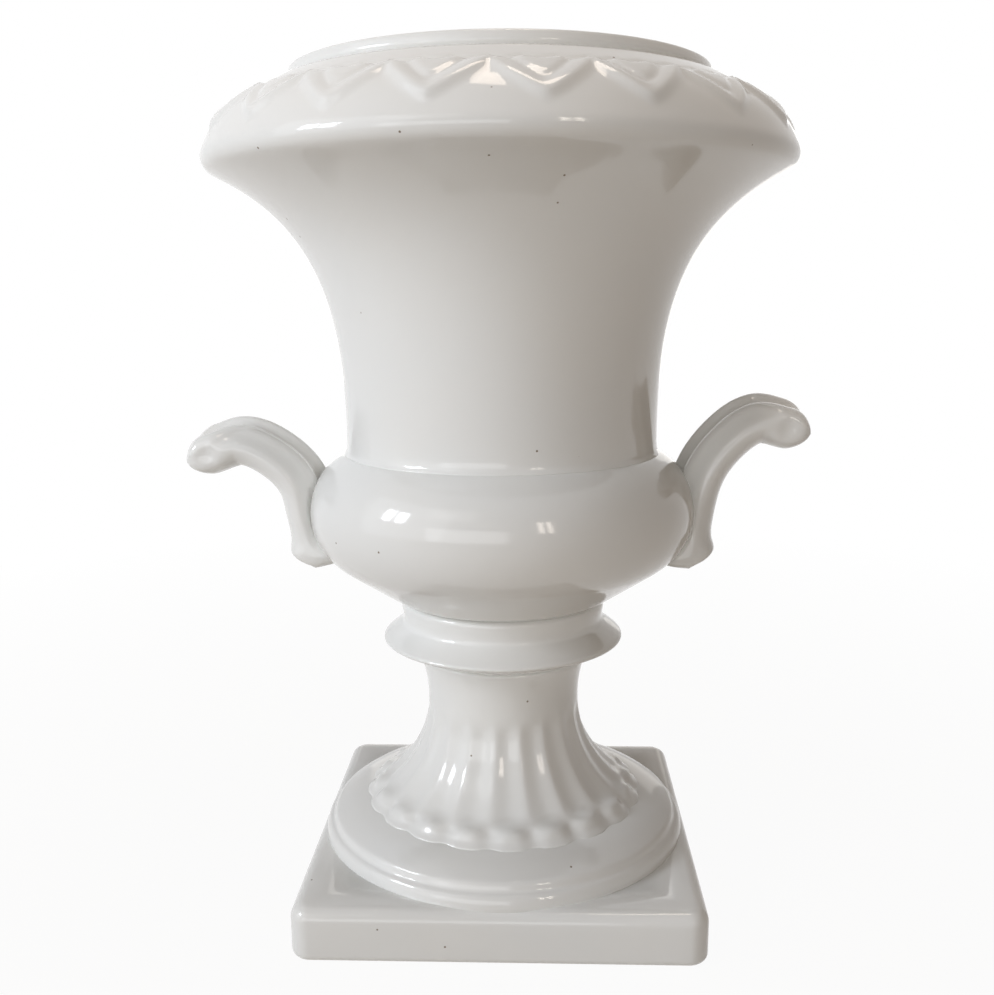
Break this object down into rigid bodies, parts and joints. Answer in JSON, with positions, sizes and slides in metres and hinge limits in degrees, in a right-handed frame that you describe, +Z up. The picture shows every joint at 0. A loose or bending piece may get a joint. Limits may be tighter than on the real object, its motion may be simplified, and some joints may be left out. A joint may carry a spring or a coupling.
{
  "type": "urn vase",
  "caption": "White glazed earthenware urn vase: flared bell with rolled rim on a round bowl, scroll handles, fluted trumpet stem and square plinth.",
  "frame": {"origin": "on the ground, under the middle of the square plinth and on the turned axis", "axes": "+Z up along the turned axis, +X towards the right handle, -Y towards the viewer of the picture"},
  "size_m": [0.2968, 0.264, 0.38],
  "materials": {
    "white_glaze": "glossy white tin-type glaze over cast earthenware"
  },
  "bodies": {
    "root": {"plinth": "white_glaze", "round_base": "white_glaze", "fluted_stem": "white_glaze", "knop": "white_glaze", "bowl": "white_glaze", "bell": "white_glaze", "mouth_collar": "white_glaze", "handle_left": "white_glaze", "handle_right": "white_glaze"}
  },
  "joints": []
}
